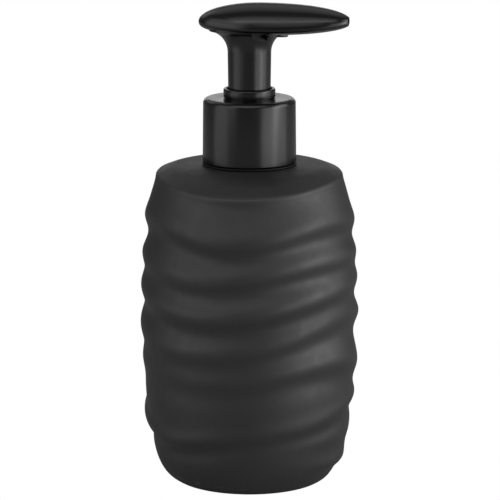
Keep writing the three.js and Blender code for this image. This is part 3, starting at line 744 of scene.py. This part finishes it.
NEW_PIECES = [
    # maker, CAD node, body, record slot, material
    (bottle_body, "bottle_body", "bottle", "ceramic", GLAZE),
    (base_pad, "base_pad", "bottle", "pad", FOAM),
    (neck_insert, "neck_insert", "bottle", "satin_black", NECK_BLACK),
    (closure, "closure", "cap", "satin_black", SATIN),
    (locking_collar, "locking_collar", "pump", "satin_black", SATIN),
    (head_cover, "head_cover", "head", "satin_black", SATIN),
    (head_base, "head_base", "head", "satin_black", SATIN),
    (nozzle_insert, "nozzle_insert", "head", "satin_black", SATIN),
    (return_spring, "return_spring", "pump", "steel", STEEL),
]
for make, node, body, slot, look in NEW_PIECES:
    piece = make()
    piece.data.materials.clear()
    piece.data.materials.append(look)
    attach(piece, body)
    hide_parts(node)
    if node == "return_spring":
        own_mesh(piece)

LOOKS = {
    "milky_pp": MILKY,
    "white_pe": WHITE,
    "steel": STEEL,
    "satin_black": SATIN,
    "ceramic": GLAZE,
    "pad": FOAM,
}
SLOT_OF = {row["node"]: row["material_slot"] for row in frame["record"]["subparts"]}
REPLACED = {row[1] for row in NEW_PIECES}
for node, obj in frame["nodes"].items():
    if node in REPLACED:
        continue
    obj.data.materials.clear()
    obj.data.materials.append(LOOKS[SLOT_OF[node]])


# ------------------------------------------------------------ stage, light and camera
VIEW_AZIMUTH = 9  # the spout is turned this far towards the camera
CAMERA_OUT, CAMERA_UP = 1.300, 0.341
AIM = (0.0002, 0.08436)  # to the right of the axis, and above the floor
LENS = 269.3  # on a sensor 36 mm wide
FLOOR_HALF = 3.0
FLOOR_TONE = 0.5  # of the floor that lights the object
ROOM_LIGHT = 0.12  # strength of the surroundings that light the object
LIGHT_CENTRE = 0.1  # the height that the lights are turned to
SOFTBOXES = [
    # name, azimuth from the camera, elevation, (width, height) in metres, radiance, distance
    ("right_box", 62, 4, (1.3, 0.7), 1.15, 1.2),
    ("right_strip", 70, 0, (0.35, 1.0), 3.0, 1.2),
    ("right_rear_box", 92, 20, (0.7, 0.9), 1.9, 1.2),
    ("right_floor_strip", 80, -8, (0.3, 0.1), 0.9, 0.4),
    ("right_front_floor_strip", 50, -8, (0.3, 0.1), 1.5, 0.4),
    ("left_box", -62, 4, (1.3, 0.7), 0.9, 1.2),
    ("left_top_box", -60, 32, (1.2, 0.6), 0.75, 1.2),
    ("left_floor_strip", -75, -8, (0.3, 0.1), 0.6, 0.4),
    ("left_rear_box", -140, 32, (0.6, 0.4), 0.5, 1.2),
    ("front_box", 0, 32, (0.7, 0.5), 0.5, 1.2),
    ("front_strip", 0, 50, (1.6, 0.25), 1.75, 1.2),
    ("front_top_box", 0, 66, (1.6, 0.35), 0.7, 1.2),
    ("back_box", 180, 8, (0.8, 0.4), 0.9, 1.2),
    ("back_top_box", 180, 55, (1.4, 0.8), 0.3, 1.2),
]


def around(azimuth, out, up):
    a = math.radians(azimuth)
    return Vector((out * math.sin(a), -out * math.cos(a), up))


def look_at(obj, target):
    obj.rotation_euler = (Vector(target) - obj.location).to_track_quat("-Z", "Y").to_euler()


def softbox(name, azimuth, elevation, size, radiance, distance):
    """An area light turned to the bottle; its azimuth is from the camera's, its size in metres."""
    light = bpy.data.lights.new(name, "AREA")
    light.shape = "RECTANGLE"
    light.size, light.size_y = size
    light.energy = radiance * math.pi * size[0] * size[1]
    obj = bpy.data.objects.new(name, light)
    e = math.radians(elevation)
    out, up = distance * math.cos(e), LIGHT_CENTRE + distance * math.sin(e)
    obj.location = around(VIEW_AZIMUTH + azimuth, out, up)
    obj.visible_camera = False
    look_at(obj, (0, 0, LIGHT_CENTRE))
    bpy.context.scene.collection.objects.link(obj)
    return obj


def seen_and_felt(tree, seen, felt):
    """A shader that the camera sees as the first one and everything else as the second."""
    path = tree.nodes.new("ShaderNodeLightPath")
    choose = tree.nodes.new("ShaderNodeMixShader")
    tree.links.new(path.outputs["Is Camera Ray"], choose.inputs["Fac"])
    tree.links.new(felt, choose.inputs[1])
    tree.links.new(seen, choose.inputs[2])
    return choose.outputs["Shader"]


def floor():
    """An even white to the camera, and a plain grey floor to the object standing on it."""
    mesh = bpy.data.meshes.new("floor")
    half = FLOOR_HALF
    corners = [(-half, -half, 0), (half, -half, 0), (half, half, 0), (-half, half, 0)]
    mesh.from_pydata(corners, [], [(0, 1, 2, 3)])
    obj = bpy.data.objects.new("floor", mesh)
    bpy.context.scene.collection.objects.link(obj)
    made, tree, shader = material("pale_floor")
    lit = tree.nodes.new("ShaderNodeBsdfPrincipled")
    for surface, colour, glow in ((shader, FLOOR_TONE, 0.0), (lit, 0.0, 1.0)):
        surface.inputs["Base Color"].default_value = (colour, colour, colour, 1)
        surface.inputs["Roughness"].default_value = 0.9
        surface.inputs["Specular IOR Level"].default_value = 0.0
        surface.inputs["Emission Color"].default_value = (1, 1, 1, 1)
        surface.inputs["Emission Strength"].default_value = glow
    both = seen_and_felt(tree, lit.outputs["BSDF"], shader.outputs["BSDF"])
    tree.links.new(both, tree.nodes["Material Output"].inputs["Surface"])
    mesh.materials.append(made)


def world():
    """An even white to the camera, and a dim room to the object."""
    made = bpy.data.worlds.new("studio")
    made.use_nodes = True
    tree = made.node_tree
    ground = tree.nodes["Background"]
    seen = tree.nodes.new("ShaderNodeBackground")
    for background, strength in ((ground, ROOM_LIGHT), (seen, 1.0)):
        background.inputs["Color"].default_value = (1, 1, 1, 1)
        background.inputs["Strength"].default_value = strength
    both = seen_and_felt(tree, seen.outputs["Background"], ground.outputs["Background"])
    tree.links.new(both, tree.nodes["World Output"].inputs["Surface"])
    bpy.context.scene.world = made


def camera():
    data = bpy.data.cameras.new("camera")
    data.sensor_width = 36
    data.lens = LENS
    data.clip_start, data.clip_end = 0.05, 20
    obj = bpy.data.objects.new("camera", data)
    obj.location = around(VIEW_AZIMUTH, CAMERA_OUT, CAMERA_UP)
    right = around(VIEW_AZIMUTH + 90, AIM[0], 0)
    look_at(obj, (right.x, right.y, AIM[1]))
    bpy.context.scene.collection.objects.link(obj)
    bpy.context.scene.camera = obj


bpy.context.scene.view_settings.view_transform = "Standard"
floor()
world()
camera()
for row in SOFTBOXES:
    softbox(*row)
